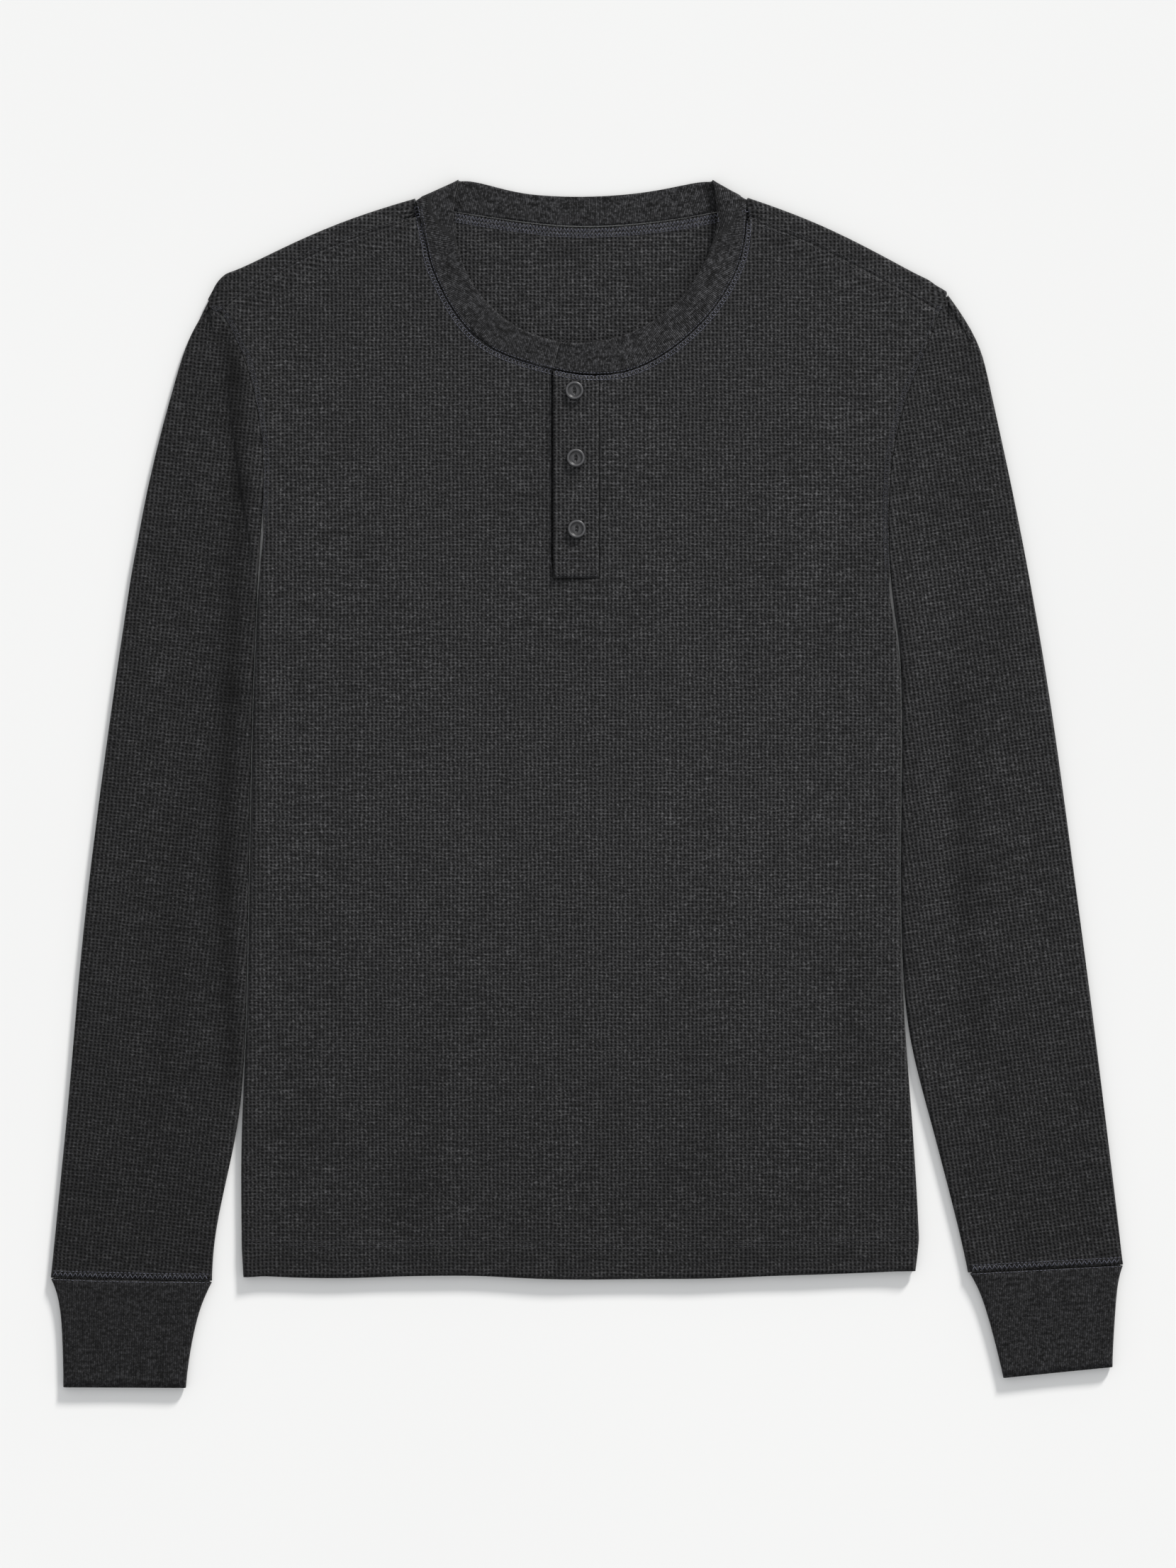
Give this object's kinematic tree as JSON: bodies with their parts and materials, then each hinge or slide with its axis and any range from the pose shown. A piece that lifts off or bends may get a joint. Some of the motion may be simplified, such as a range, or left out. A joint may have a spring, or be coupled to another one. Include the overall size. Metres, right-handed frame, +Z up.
{
  "type": "thermal top (long-sleeved waffle-knit henley, laid flat)",
  "caption": "Charcoal heather waffle-knit henley with long sleeves, rib cuffs and neckband and a short buttoned placket, laid flat face up.",
  "frame": {"origin": "on the surface it lies on, under the middle of the whole garment", "axes": "+X to the viewer's right across the garment, +Y from the hem to the neck, +Z up from the surface"},
  "size_m": [0.6878, 0.7748, 0.0094],
  "materials": {
    "waffle_knit": "matte",
    "rib_knit": "matte",
    "button": "satin"
  },
  "bodies": {
    "root": {"back": "waffle_knit", "front": "waffle_knit", "sleeve_left": "waffle_knit", "sleeve_right": "waffle_knit", "cuff_left": "rib_knit", "cuff_right": "rib_knit", "neckband": "rib_knit", "placket_overlap": "waffle_knit", "placket_underlap": "waffle_knit", "button_top": "button", "button_middle": "button", "button_bottom": "button"}
  },
  "joints": []
}
